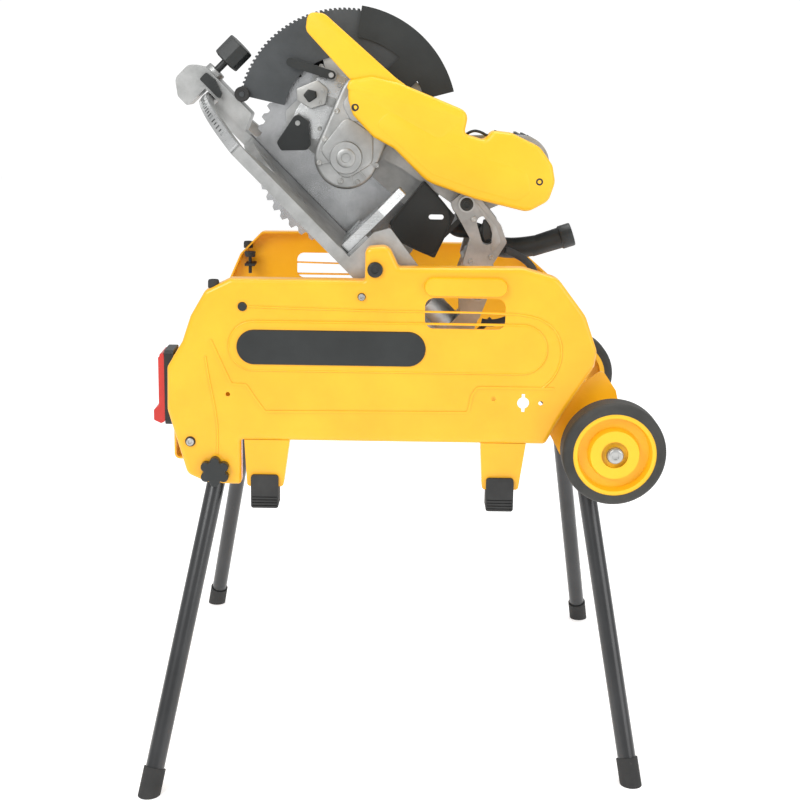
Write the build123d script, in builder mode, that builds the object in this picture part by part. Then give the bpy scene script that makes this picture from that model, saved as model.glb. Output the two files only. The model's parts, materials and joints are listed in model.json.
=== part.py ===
from build123d import *
import os
from math import atan2, cos, degrees, hypot, radians, sin, tan

# Flip-over combination saw on a wheeled base with four splayed legs.
# X runs from the operator's end to the wheels, Y across the base, Z up from the floor, all in mm.
# The table and the saw head turn together about one cross axis, and stand halfway through a flip.

os.makedirs("parts", exist_ok=True)

# ---- driving dimensions: base -------------------------------------------------------------------
WALL_FACE = 268.0          # outer face of each side wall, from the centre plane
WALL_DEPTH = 28.0          # depth of the wall's folded rim
SHEET = 3.0                # thickness of the base's steel sheet
WALL_BOTTOM = 511.0        # lower edge between the feet
PAD_CENTRE = (-111.5, 655.5)
PAD_SIZE = (283.0, 53.0)
EMBOSS_CENTRE = (-26.5, 657.0)
EMBOSS_SIZE = (476.0, 74.0)
EMBOSS_RISE = 2.5
GRIP_X = 88.0              # centre of the near wall's carry grip
FAR_GRIP_X = -139.5        # the far wall's grip is at the other end
GRIP_LENGTH = 120.0
GRIP_Z = 750.0
WINDOW_Z = 710.0
WINDOW_HEIGHT = 46.0
CHEEK_FACE = 237.0         # outer face of the rear panel's side cheeks
PANEL_HALF = 237.0
FRONT_PANEL_X = -352.0
REAR_PANEL_X = 297.0

# ---- driving dimensions: wheels, legs and feet --------------------------------------------------
WHEEL_X = 312.5
WHEEL_Z = 510.0
WHEEL_R = 77.5
HUB_R = 62.0
WHEEL_INNER = 275.0
WHEEL_WIDTH = 48.0
AXLE_R = 10.0
LEG_R = 14.0
LEG_WALL = 2.0
FRONT_LEG = ((-373.5, 414.0, 0.0), (-288.0, 250.0, 441.0))
REAR_LEG = ((355.0, 357.0, 0.0), (283.0, 200.0, 450.0))
SLEEVE_R = 17.0
SLEEVE_LENGTH = 105.0
CAP_R = 16.5
CAP_LENGTH = 40.0
FOOT_XS = (-209.0, 150.0)
FRONT_KNOB_X = -287.0      # leg clamping knobs
LEG_KNOB_Z = 463.0
REAR_KNOB_Y = 194.5
REAR_KNOB_Z = 466.0
KNOB_SCREW_R = 4.0
KNOB_SHAFT_R = 6.0         # mitre locking knob

# ---- driving dimensions: flip axis and saw table ------------------------------------------------
PIVOT_X = -47.0
PIVOT_Z = 774.0
FLIP_ANGLE = 45.0          # how far the table has turned from its flat mitre position
BOLT_R = 8.0
FIT = 0.05                 # radial clearance of a running shaft
TABLE_HALF = 232.0
TABLE_LOW = -36.5          # bench face, measured along the table's normal from the flip axis
TABLE_TOP = -18.5          # mitre face
MITRE_U = -57.0            # turning centre of the mitre table, on the fence's face
DISC_R = 216.0
SCALE_R = 313.0
BAND = 13.0
TABLE_REAR = 70.0
FENCE_FACE = -57.0
FENCE_BACK = -43.0
FENCE_TOP = 105.0
FENCE_LOW = 14.0           # height of the middle part, under which the head turns
FENCE_GAP = 34.0
FENCE_END = 212.0          # outer end, which leaves room to slide before the side walls
KNOB_U = -387.0            # mitre locking knob
LATCH = (-384.0, -5.0)     # pivot of the mitre latch
BEVEL_FACE = 168.0         # joint face between the mitre table and the bevel bracket

# ---- driving dimensions: saw head, as (u, w) along and across the table -------------------------
BLADE = (-144.0, 72.0)
BLADE_R = 152.5
BLADE_THICK = 2.6
TEETH = 48
GUARD = (-187.0, 110.0)
GUARD_R = 171.0
COVER_R = 179.0
HINGE = (41.0, 158.0)
HUB_RADIUS = 20.0
MOTOR = (58.0, 262.0)
MOTOR_R = 46.0
DRIVE = (-178.0, 158.0)    # upper end of the gear housing
HOUSING_R = 50.0
ARM_NEAR, ARM_FAR = -58.0, -34.0
HOUSING_NEAR = -86.0
COVER_NEAR, COVER_FAR = -140.0, -86.4
EAR_NEAR, EAR_FAR, EAR_THICK = -66.0, 66.0, 20.0
SPINDLE_R = 10.0
GUARD_PIN_R = 6.0
LOCK_PIVOT = (-236.0, 52.0)
LEVER_PIVOT = (-252.0, 143.0)
ROLLER = (-330.0, 20.0)
CLAMP_R = 8.0

C, S = cos(radians(FLIP_ANGLE)), sin(radians(FLIP_ANGLE))
ALONG = (C, 0, -S)
NORMAL = (S, 0, C)


def base_side(y):
    """Upright plane along the base at a given y, drawn in x and z; it extrudes towards the near side."""
    return Plane(origin=(0, y, 0), x_dir=(1, 0, 0), z_dir=(0, -1, 0))


def saw_side(y):
    """The same for the turned table and head, drawn in u and w."""
    return Plane(origin=(PIVOT_X, y, PIVOT_Z), x_dir=ALONG, z_dir=(0, -1, 0))


def saw_top(w):
    """Plane parallel to the table at height w, drawn in u and y."""
    return Plane(origin=(PIVOT_X + w * S, 0, PIVOT_Z + w * C), x_dir=ALONG, z_dir=NORMAL)


def saw_cross(u):
    """Plane across the table at distance u, drawn in y and w."""
    return Plane(origin=(PIVOT_X + u * C, 0, PIVOT_Z - u * S), x_dir=(0, 1, 0), z_dir=ALONG)


def saw_point(u, y, w):
    return (PIVOT_X + u * C + w * S, y, PIVOT_Z - u * S + w * C)


def finish(piece, name):
    piece.part.label = name
    export_step(piece.part, f"parts/{name}.step")


def polar(centre, radius, angle):
    return (centre[0] + radius * cos(radians(angle)), centre[1] + radius * sin(radians(angle)))


def sector(centre, outer, start, end):
    """Add a pie-shaped face between two angles to the open sketch."""
    with BuildLine() as edge:
        Line(centre, polar(centre, outer, start))
        CenterArc(centre, outer, start, end - start)
        Line(polar(centre, outer, end), centre)
    return make_face(edge.edges())


# ---- side walls -----------------------------------------------------------------------------------
LEFT_EDGE = [(-248, 441, 5), (-296, 441, 20), (-330, 456, 14), (-359, 556, 20), (-358, 622, 12),
             (-335, 661, 12)]
RIGHT_EDGE = [(287, 655, 20), (284, 632, 15), (240, 560, 60), (214, WALL_BOTTOM, 8),
              (-248, WALL_BOTTOM, 4)]
LUG = [(-62, 806, 10), (-27, 809, 16), (-12, 777, 6)]
NEAR_TOP = [(-322, 700, 12), (-300, 738, 10), (-262, 757, 12), (-62, 757, 4)] + LUG
NEAR_TOP += [(172, 779, 30), (225, 764, 30), (268, 708, 40)]
FAR_TOP = [(-320, 690, 12), (-301, 733, 10), (-262, 773, 12), (-62, 775, 1)] + LUG
FAR_TOP += [(20, 757, 8), (150, 757, 30), (215, 740, 30), (262, 700, 30)]


def outline(points):
    """Add a closed outline with its own radius at each corner to the open sketch."""
    with BuildLine() as edge:
        FilletPolyline(*[(x, z) for x, z, _ in points], radius=[r for _, _, r in points], close=True)
    return make_face(edge.edges())


def leg_plane(leg, side, height=0.0):
    """Plane square to a leg's axis, where that axis is at the given height."""
    (x0, y0, z0), (x1, y1, z1) = leg
    share = (height - z0) / (z1 - z0)
    axis = Vector(x1 - x0, side * (y1 - y0), z1 - z0).normalized()
    return Plane(origin=(x0 + share * (x1 - x0), side * (y0 + share * (y1 - y0)), height), z_dir=axis)


def side_wall(side, top, grip_x):
    """Pressed steel wall with a folded rim; side is -1 for the near wall and 1 for the far one."""
    points = LEFT_EDGE + top + RIGHT_EDGE
    face = side * WALL_FACE
    inner_face = face - side * SHEET
    rim_back = side * (WALL_FACE - WALL_DEPTH)
    with BuildPart() as wall:
        with BuildSketch(base_side(rim_back)):
            outline(points)
        extrude(amount=-side * WALL_DEPTH)
        fillet(wall.faces().sort_by(Axis.Y)[0 if side < 0 else -1].edges(), 7)
        with BuildSketch(base_side(rim_back)):
            outline(points)
            offset(amount=-SHEET)
        extrude(amount=-side * (WALL_DEPTH - SHEET), mode=Mode.SUBTRACT)
        with BuildSketch(base_side(face)):
            with Locations(EMBOSS_CENTRE):
                SlotOverall(*EMBOSS_SIZE)
        extrude(amount=-side * EMBOSS_RISE, taper=30)
        with BuildSketch(base_side(inner_face)):
            with Locations((grip_x, GRIP_Z)):
                SlotOverall(GRIP_LENGTH + 6, 30)
        extrude(amount=-side * (SHEET + 9), taper=12)
        with BuildSketch(base_side(inner_face + side * 2)):
            with Locations((grip_x, WINDOW_Z)):
                RectangleRounded(GRIP_LENGTH, WINDOW_HEIGHT, 13)
        extrude(amount=12, both=True, mode=Mode.SUBTRACT)
        with BuildSketch(base_side(face)):
            with BuildLine():
                FilletPolyline((-292, 665), (-262, 598), (-239, 597), (-227, 578), (-211, 556), (96, 559),
                               (101, 586), (109, 598), (224, 598), radius=6)
            trace(line_width=3.5)
        extrude(amount=-side * 1.5)
        with BuildSketch(base_side(inner_face)):
            with Locations((PIVOT_X, PIVOT_Z)):
                Circle(BOLT_R + 0.3)
            with Locations((178.5, 575)):
                Circle(9)
                Rectangle(5, 28)
            with Locations((-267, 582), (133.5, 581), (205, 575)):
                Circle(3.5)
        extrude(amount=15, both=True, mode=Mode.SUBTRACT)
        with BuildSketch(leg_plane(FRONT_LEG, side, 405)):
            Circle(SLEEVE_R + 1.5)
        extrude(amount=130, mode=Mode.SUBTRACT)
        with BuildSketch(base_side(inner_face)):
            with Locations((FRONT_KNOB_X, LEG_KNOB_Z)):
                Circle(KNOB_SCREW_R + 0.4)
        extrude(amount=15, both=True, mode=Mode.SUBTRACT)
    return wall


near_wall = side_wall(-1, NEAR_TOP, GRIP_X)
finish(near_wall, "near_wall")
far_wall = side_wall(1, FAR_TOP, FAR_GRIP_X)
finish(far_wall, "far_wall")

# ---- cross panels ---------------------------------------------------------------------------------
with BuildPart() as front_panel:
    with BuildSketch(Plane.XZ.offset(-PANEL_HALF)):
        with BuildLine():
            FilletPolyline((-312, 637), (FRONT_PANEL_X, 637), (FRONT_PANEL_X, 474), (-318, 474), radius=7)
        trace(line_width=SHEET)
    extrude(amount=2 * PANEL_HALF)
finish(front_panel, "front_panel")

with BuildPart() as rear_panel:
    with BuildSketch(Plane.YZ.offset(REAR_PANEL_X)):
        with Locations((0, 502)):
            RectangleRounded(2 * CHEEK_FACE, 124, 2)
    extrude(amount=SHEET)
    for side in (-1, 1):
        with BuildSketch(base_side(side * CHEEK_FACE)):
            with BuildLine():
                FilletPolyline((222, 523), (250, 470), (330, 470), (338, 520), (322, 590), (300, 622), (262, 594),
                               radius=8, close=True)
            make_face()
            with Locations((WHEEL_X, WHEEL_Z)):
                Circle(AXLE_R + FIT, mode=Mode.SUBTRACT)
        extrude(amount=side * 4)
    for side in (-1, 1):
        with BuildSketch(leg_plane(REAR_LEG, side, 420)):
            Circle(SLEEVE_R + 0.3)
        extrude(amount=150, mode=Mode.SUBTRACT)
    with BuildSketch(Plane.YZ.offset(REAR_PANEL_X - 5)):
        with Locations((-REAR_KNOB_Y, REAR_KNOB_Z), (REAR_KNOB_Y, REAR_KNOB_Z)):
            Circle(KNOB_SCREW_R + 0.4)
    extrude(amount=15, mode=Mode.SUBTRACT)
    with BuildSketch(base_side(0)):
        with Locations((WHEEL_X, WHEEL_Z)):
            Circle(AXLE_R + FIT)
    extrude(amount=300, both=True, mode=Mode.SUBTRACT)
finish(rear_panel, "rear_panel")

# ---- base trim and fittings -------------------------------------------------------------------------
with BuildPart() as side_pads:
    for side in (-1, 1):
        with BuildSketch(base_side(side * (WALL_FACE + EMBOSS_RISE))):
            with Locations(PAD_CENTRE):
                SlotOverall(*PAD_SIZE)
        extrude(amount=-side * 2.5, taper=20)
finish(side_pads, "side_pads")

with BuildPart() as foot_brackets:
    for side in (-1, 1):
        for x in FOOT_XS:
            with BuildSketch(base_side(side * 264)):
                with BuildLine():
                    FilletPolyline((x - 34, WALL_BOTTOM), (x - 30, 438), (x + 25, 438), (x + 35, WALL_BOTTOM),
                                   radius=[0.1, 5, 5, 0.1], close=True)
                make_face()
            extrude(amount=side * 30)
finish(foot_brackets, "foot_brackets")

with BuildPart() as base_feet:
    for side in (-1, 1):
        for x in FOOT_XS:
            with BuildSketch(base_side(side * 270)):
                with Locations((x - 3, 431)):
                    RectangleRounded(42, 52, 5)
            extrude(amount=side * 5.7)
            with BuildSketch(base_side(side * 270)):
                with Locations((x - 3, 421)):
                    RectangleRounded(42, 32, 4)
            extrude(amount=side * 36)
            for step in range(4):
                with BuildSketch(base_side(side * 272)):
                    with Locations((x - 3, 409 + 4.5 * step)):
                        Rectangle(38, 1.6)
                extrude(amount=side * 4, mode=Mode.SUBTRACT)
finish(base_feet, "base_feet")

with BuildPart() as leg_sockets:
    for leg, low in ((FRONT_LEG, 445), (REAR_LEG, 440)):
        for side in (-1, 1):
            with BuildSketch(leg_plane(leg, side, low)):
                Circle(SLEEVE_R)
                Circle(LEG_R + 0.3, mode=Mode.SUBTRACT)
            extrude(amount=SLEEVE_LENGTH)
finish(leg_sockets, "leg_sockets")

with BuildPart() as axle:
    with BuildSketch(base_side(0)):
        with Locations((WHEEL_X, WHEEL_Z)):
            Circle(AXLE_R)
    extrude(amount=WHEEL_INNER + WHEEL_WIDTH + 0.5, both=True)
    for side in (-1, 1):
        with BuildSketch(base_side(side * (WHEEL_INNER + WHEEL_WIDTH + 0.5))):
            with Locations((WHEEL_X, WHEEL_Z)):
                Circle(13)
        extrude(amount=-side * 4, taper=20)
finish(axle, "axle")

with BuildPart() as pivot_bolts:
    for side in (-1, 1):
        with BuildSketch(base_side(side * 214)):
            with Locations((PIVOT_X, PIVOT_Z)):
                Circle(BOLT_R)
        extrude(amount=-side * (WALL_FACE - 214 + 0.3))
        with BuildSketch(base_side(side * (WALL_FACE + 0.3))):
            with Locations((PIVOT_X, PIVOT_Z)):
                Circle(BOLT_R + 3.5)
                RegularPolygon(4.5, 6, mode=Mode.SUBTRACT)
        extrude(amount=-side * 4)
finish(pivot_bolts, "pivot_bolts")

BUMPERS = ((-284, 736, -1), (-283, 736, 1), (244, 690, 1))
with BuildPart() as rest_bumpers:
    for x, z, side in BUMPERS:
        with BuildSketch(Plane.XY.offset(z - 38)):
            with Locations((x, side * 236.5)):
                Circle(3)
        extrude(amount=38)
        with BuildSketch(Plane.XY.offset(z - 8)):
            with Locations((x, side * 236.5)):
                Circle(9)
        extrude(amount=9, taper=-8)
        with BuildSketch(Plane.XY.offset(z - 24)):
            with Locations((x, side * (WALL_FACE - SHEET - 20.2))):
                Rectangle(18, 40)
        extrude(amount=4)
finish(rest_bumpers, "rest_bumpers")

with BuildPart() as wall_screws:
    for side in (-1, 1):
        for x, z, r in ((-244, 716, 7), (-66.5, 733, 6), (-324.5, 508, 8)):
            with BuildSketch(base_side(side * WALL_FACE)):
                with Locations((x, z)):
                    Circle(r)
            extrude(amount=-side * 3, taper=15)
finish(wall_screws, "wall_screws")

# ---- switch -------------------------------------------------------------------------------------------
SWITCH_Y = -205.0
FLAP_X = FRONT_PANEL_X - SHEET / 2 - 14.5
with BuildPart() as switch_box:
    with BuildSketch(Plane.YZ.offset(FRONT_PANEL_X - SHEET / 2 - 14)):
        with Locations((SWITCH_Y, 583)):
            RectangleRounded(58, 116, 6)
    extrude(amount=14)
    with BuildSketch(Plane.YZ.offset(FRONT_PANEL_X - SHEET / 2 - 14)):
        with Locations((SWITCH_Y, 560)):
            RectangleRounded(24, 34, 3)
    extrude(amount=8, mode=Mode.SUBTRACT)
finish(switch_box, "switch_box")

FLAP_TOP = 636.0
with BuildPart() as stop_flap:
    with BuildSketch(base_side(SWITCH_Y + 27)):
        with BuildLine():
            FilletPolyline((FLAP_X, FLAP_TOP), (FLAP_X - 9, FLAP_TOP - 6), (FLAP_X - 9, 556), (FLAP_X - 17, 548),
                           (FLAP_X - 17, 532), (FLAP_X - 6, 527), (FLAP_X, 530), radius=2.5, close=True)
        make_face()
    extrude(amount=54)
    with BuildSketch(base_side(SWITCH_Y + 27)):
        with Locations((FLAP_X - 3.5, FLAP_TOP - 3)):
            Circle(3.4)
    extrude(amount=54)
finish(stop_flap, "stop_flap")

with BuildPart() as start_button:
    with BuildSketch(Plane.YZ.offset(FLAP_X + 0.8)):
        with Locations((SWITCH_Y, 560)):
            RectangleRounded(20, 28, 3)
    extrude(amount=6)
finish(start_button, "start_button")


# ---- wheels -------------------------------------------------------------------------------------------
def wheel_pair(side, place):
    """Solid rubber tyre on a dished plastic hub, made on its inner face and extruded outwards."""
    near = base_side(side * WHEEL_INNER)
    outer = base_side(side * (WHEEL_INNER + WHEEL_WIDTH))
    with BuildPart() as tyre:
        with BuildSketch(near):
            with Locations((WHEEL_X, WHEEL_Z)):
                Circle(WHEEL_R)
        extrude(amount=-side * WHEEL_WIDTH)
        fillet(tyre.edges(), 9)
        with BuildSketch(near):
            with Locations((WHEEL_X, WHEEL_Z)):
                Circle(HUB_R + 0.02)
        extrude(amount=-side * WHEEL_WIDTH, mode=Mode.SUBTRACT)
    finish(tyre, f"{place}_tyre")
    with BuildPart() as hub:
        with BuildSketch(near):
            with Locations((WHEEL_X, WHEEL_Z)):
                Circle(HUB_R)
        extrude(amount=-side * (WHEEL_WIDTH - 1))
        with BuildSketch(outer):
            with Locations((WHEEL_X, WHEEL_Z)):
                Circle(HUB_R - 6)
                Circle(36, mode=Mode.SUBTRACT)
        extrude(amount=side * 16, taper=12, mode=Mode.SUBTRACT)
        with BuildSketch(outer):
            with Locations((WHEEL_X, WHEEL_Z)):
                Circle(20)
        extrude(amount=side * 9, mode=Mode.SUBTRACT)
        with BuildSketch(near):
            with Locations((WHEEL_X, WHEEL_Z)):
                Circle(HUB_R - 8)
                Circle(22, mode=Mode.SUBTRACT)
        extrude(amount=-side * 24, mode=Mode.SUBTRACT)
        with BuildSketch(near):
            with Locations((WHEEL_X, WHEEL_Z)):
                Circle(AXLE_R + FIT)
        extrude(amount=-side * WHEEL_WIDTH, mode=Mode.SUBTRACT)
    finish(hub, f"{place}_hub")


wheel_pair(-1, "near")
wheel_pair(1, "far")


# ---- legs ---------------------------------------------------------------------------------------------
def leg_parts(leg, side, place, length):
    """Steel tube and its rubber cap, cut level with the floor."""
    floor_plane = leg_plane(leg, side, 0)
    with BuildPart() as tube:
        with BuildSketch(leg_plane(leg, side, 14)):
            Circle(LEG_R)
            Circle(LEG_R - LEG_WALL, mode=Mode.SUBTRACT)
        extrude(amount=length)
    finish(tube, f"{place}_leg")
    with BuildPart() as cap:
        with BuildSketch(floor_plane.offset(-12)):
            Circle(CAP_R)
        extrude(amount=CAP_LENGTH + 12)
        with BuildSketch(leg_plane(leg, side, 14)):
            Circle(LEG_R + 0.02)
        extrude(amount=CAP_LENGTH, mode=Mode.SUBTRACT)
        split(bisect_by=Plane.XY, keep=Keep.TOP)
    finish(cap, f"{place}_leg_cap")


leg_parts(FRONT_LEG, -1, "front_near", 560)
leg_parts(FRONT_LEG, 1, "front_far", 560)
leg_parts(REAR_LEG, -1, "rear_near", 550)
leg_parts(REAR_LEG, 1, "rear_far", 550)


def leg_knob(plane, reach, place):
    """Six-lobed clamping knob with its screw; the plane is the face it stands on, normal outwards."""
    with BuildPart() as knob:
        with BuildSketch(plane.offset(1)):
            Circle(17)
            with PolarLocations(15.5, 6):
                Circle(7.5)
        extrude(amount=13)
        top = knob.faces().sort_by(lambda lobe: plane.to_local_coords(lobe.center()).Z)[-1]
        fillet(top.edges(), 2)
        with BuildSketch(plane.offset(-reach)):
            Circle(KNOB_SCREW_R)
        extrude(amount=reach + 1)
    finish(knob, f"{place}_leg_knob")


def face_out(x, y, z, normal):
    return Plane(origin=(x, y, z), z_dir=normal)


leg_knob(face_out(FRONT_KNOB_X, -WALL_FACE, LEG_KNOB_Z, (0, -1, 0)), 6, "front_near")
leg_knob(face_out(FRONT_KNOB_X, WALL_FACE, LEG_KNOB_Z, (0, 1, 0)), 6, "front_far")
leg_knob(face_out(REAR_PANEL_X + SHEET, -REAR_KNOB_Y, REAR_KNOB_Z, (1, 0, 0)), 1.8, "rear_near")
leg_knob(face_out(REAR_PANEL_X + SHEET, REAR_KNOB_Y, REAR_KNOB_Z, (1, 0, 0)), 1.8, "rear_far")

# ---- saw table ----------------------------------------------------------------------------------------
with BuildPart() as table_frame:
    with BuildSketch(saw_top(TABLE_LOW)):
        with Locations((MITRE_U, 0)):
            Circle(SCALE_R)
        with Locations((TABLE_REAR - 250, 0)):
            Rectangle(500, 2 * TABLE_HALF, mode=Mode.INTERSECT)
        with Locations((MITRE_U, 0)):
            Circle(DISC_R + 0.5, mode=Mode.SUBTRACT)
    extrude(amount=TABLE_TOP - TABLE_LOW)
    with BuildSketch(saw_top(TABLE_LOW)):
        sector((MITRE_U, 0), SCALE_R - BAND, 133, 227)
    extrude(amount=TABLE_TOP - TABLE_LOW, mode=Mode.SUBTRACT)
    for side in (-1, 1):
        with BuildSketch(saw_side(side * (TABLE_HALF - 8))):
            with BuildLine():
                FilletPolyline((-38, TABLE_LOW), (-38, 34), (-26, 56), (48, 46), (62, 20), (66, TABLE_LOW), radius=5,
                               close=True)
            make_face()
            Circle(BOLT_R + FIT, mode=Mode.SUBTRACT)
        extrude(amount=-side * 8)
    with BuildSketch(saw_side(0)):
        Circle(BOLT_R + FIT)
    extrude(amount=300, both=True, mode=Mode.SUBTRACT)
finish(table_frame, "table_frame")

with BuildPart() as mitre_scale:
    with BuildSketch(saw_top(TABLE_LOW + 1)):
        with Locations((MITRE_U, 0)):
            Circle(SCALE_R + 3)
            Circle(SCALE_R + 0.02, mode=Mode.SUBTRACT)
        with Locations((MITRE_U - 200 - SCALE_R * cos(radians(47)), 0)):
            Rectangle(400, 2 * TABLE_HALF - 4, mode=Mode.INTERSECT)
    extrude(amount=16)
    for angle in range(-40, 41, 10):
        with BuildSketch(saw_top(TABLE_LOW + 5)):
            with Locations(polar((MITRE_U, 0), SCALE_R + 3, 180 + angle)):
                Rectangle(4, 9, rotation=angle)
        extrude(amount=8, mode=Mode.SUBTRACT)
finish(mitre_scale, "mitre_scale")

with BuildPart() as fence_base:
    for side in (-1, 1):
        with BuildSketch(saw_cross(FENCE_BACK + 0.5)):
            with Locations((side * 220, TABLE_TOP + 20)):
                Rectangle(7.4, 40)
        extrude(amount=26)
        with BuildSketch(saw_cross(FENCE_BACK + 0.5)):
            with Locations((side * (FENCE_GAP + 6 + 222) / 2, TABLE_TOP + 16.5)):
                Rectangle(222 - FENCE_GAP - 6, 32)
        extrude(amount=16)
finish(fence_base, "fence_base")


def fence_half(side, place):
    """Cast fence plate, low beside the blade and tall at its bevelled outer end."""
    with BuildPart() as fence:
        with BuildSketch(saw_cross(FENCE_FACE)):
            with BuildLine():
                FilletPolyline((side * FENCE_GAP, TABLE_TOP + 0.5), (side * FENCE_END, TABLE_TOP + 0.5),
                               (side * FENCE_END, 60), (side * 188, FENCE_TOP), (side * 146, FENCE_TOP),
                               (side * 132, FENCE_LOW), (side * FENCE_GAP, FENCE_LOW), radius=3, close=True)
            make_face()
        extrude(amount=FENCE_BACK - FENCE_FACE)
        with BuildSketch(saw_cross(FENCE_BACK)):
            with Locations((side * 176, 44)):
                RectangleRounded(48, 76, 6)
        extrude(amount=-8, mode=Mode.SUBTRACT)
    finish(fence, f"{place}_fence")


fence_half(-1, "near")
fence_half(1, "far")

# ---- mitre table --------------------------------------------------------------------------------------
KERF_FROM, KERF_TO = -278.0, 4.0
with BuildPart() as mitre_table:
    with BuildSketch(saw_top(TABLE_LOW)):
        with Locations((MITRE_U, 0)):
            Circle(DISC_R)
        with Locations((-310, 0)):
            Rectangle(80, 44)
    extrude(amount=TABLE_TOP - TABLE_LOW)
    with BuildSketch(saw_side(28)):
        with BuildLine():
            FilletPolyline((-286, TABLE_TOP - 1), (-298, 8), (-400, 8), (-423, -8), (-423, -40), (-400, -57),
                           (-378, -57), (-378, TABLE_TOP + 1.5), (-350, TABLE_TOP + 1.5), (-348, TABLE_TOP - 1),
                           radius=[1, 5, 6, 14, 14, 8, 5, 1, 0.5, 0.1], close=True)
        make_face()
    extrude(amount=56)
    with BuildSketch(saw_top(0)):
        with Locations((KNOB_U, 0)):
            Circle(17)
    extrude(amount=15, taper=4)
    with BuildSketch(saw_cross(120)):
        with Locations((0, TABLE_TOP)):
            Circle(38)
        with Locations((0, TABLE_LOW - 50)):
            Rectangle(200, 100, mode=Mode.SUBTRACT)
    extrude(amount=BEVEL_FACE - 120)
    with BuildSketch(saw_top(TABLE_LOW)):
        with Locations(((KERF_FROM + KERF_TO) / 2, 0)):
            Rectangle(KERF_TO - KERF_FROM, 26)
    extrude(amount=TABLE_TOP - TABLE_LOW, mode=Mode.SUBTRACT)
    with BuildSketch(saw_top(15)):
        with Locations((KNOB_U, 0)):
            Circle(KNOB_SHAFT_R + FIT)
    extrude(amount=-40, mode=Mode.SUBTRACT)
    with BuildSketch(saw_side(-14)):
        with Locations(LATCH):
            Circle(4 + FIT)
    extrude(amount=15, mode=Mode.SUBTRACT)
    for row in range(7):
        with BuildSketch(saw_top(TABLE_TOP)):
            for side in (-1, 1):
                with Locations((-238 + 14 * row, side * (92 + 4 * row))):
                    SlotOverall(80, 4, rotation=side * 62)
        extrude(amount=-3, mode=Mode.SUBTRACT)
finish(mitre_table, "mitre_table")

with BuildPart() as kerf_plates:
    for low in (TABLE_LOW, TABLE_TOP - 6):
        with BuildSketch(saw_top(low)):
            with Locations(((KERF_FROM + KERF_TO) / 2, 0)):
                Rectangle(KERF_TO - KERF_FROM - 0.6, 25.4)
                Rectangle(KERF_TO - KERF_FROM - 6, 10, mode=Mode.SUBTRACT)
        extrude(amount=6)
finish(kerf_plates, "kerf_plates")

with BuildPart() as mitre_knob:
    with BuildSketch(saw_top(-20)):
        with Locations((KNOB_U, 0)):
            Circle(KNOB_SHAFT_R)
    extrude(amount=56)
    with BuildSketch(saw_top(34)):
        with Locations((KNOB_U, 0)):
            RegularPolygon(23, 8)
    extrude(amount=38)
    fillet(mitre_knob.edges().filter_by(lambda edge: edge.length < 20), 3)
finish(mitre_knob, "mitre_knob")

with BuildPart() as mitre_latch:
    with BuildSketch(saw_side(-28.5)):
        with BuildLine():
            FilletPolyline((-394, -12), (-394, 3), (-376, 5), (-353, -3), (-350, -12), radius=3, close=True)
        make_face()
    extrude(amount=9)
    with BuildSketch(saw_side(-15)):
        with Locations(LATCH):
            Circle(4)
    extrude(amount=14)
finish(mitre_latch, "mitre_latch")

# ---- bevel bracket: column, ears and clamp --------------------------------------------------------------
with BuildPart() as bevel_bracket:
    with BuildSketch(saw_side(34)):
        with BuildLine():
            FilletPolyline((BEVEL_FACE + 0.5, TABLE_LOW), (198, TABLE_LOW), (206, 20), (176, 86), (148, 120),
                           (106, 120), (100, 104), (116, 70), (BEVEL_FACE + 0.5, 24), radius=4, close=True)
        make_face()
    extrude(amount=68)
    with BuildSketch(saw_side(EAR_FAR)):
        with BuildLine():
            FilletPolyline((104, 88), (144, 88), (144, 120), (104, 120), radius=4, close=True)
        make_face()
    extrude(amount=EAR_FAR - EAR_NEAR + EAR_THICK)
    for start in (EAR_FAR, EAR_NEAR):
        with BuildSketch(saw_side(start)):
            with BuildLine():
                FilletPolyline((22, 140), (24, 170), (46, 180), (104, 174), (130, 162), (136, 138), (142, 112),
                               (142, 90), (104, 90), (84, 124), (40, 136), radius=6, close=True)
            make_face()
            with Locations((92, 150)):
                SlotOverall(46, 19, rotation=-28, mode=Mode.SUBTRACT)
        extrude(amount=EAR_THICK)
    for y in (-30, 0, 30):
        with BuildSketch(saw_cross(230)):
            with Locations((y, 26)):
                Rectangle(15, 50)
        extrude(amount=-34, mode=Mode.SUBTRACT)
    with BuildSketch(saw_side(0)):
        with Locations(HINGE):
            Circle(BOLT_R + FIT)
    extrude(amount=200, both=True, mode=Mode.SUBTRACT)
    with BuildSketch(saw_cross(180)):
        with Locations((0, TABLE_TOP)):
            Circle(CLAMP_R + FIT)
    extrude(amount=40, mode=Mode.SUBTRACT)
finish(bevel_bracket, "bevel_bracket")

with BuildPart() as bevel_clamp:
    with BuildSketch(saw_cross(182)):
        with Locations((0, TABLE_TOP)):
            Circle(CLAMP_R)
    extrude(amount=26)
    with BuildSketch(saw_cross(206.6)):
        with Locations((0, TABLE_TOP)):
            Circle(13)
    extrude(amount=12)
    with BuildSketch(saw_cross(212)):
        with BuildLine():
            FilletPolyline((-9, TABLE_TOP), (9, TABLE_TOP), (6, TABLE_TOP + 72), (-6, TABLE_TOP + 72), radius=4,
                           close=True)
        make_face()
    extrude(amount=6.6)
finish(bevel_clamp, "bevel_clamp")

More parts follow.
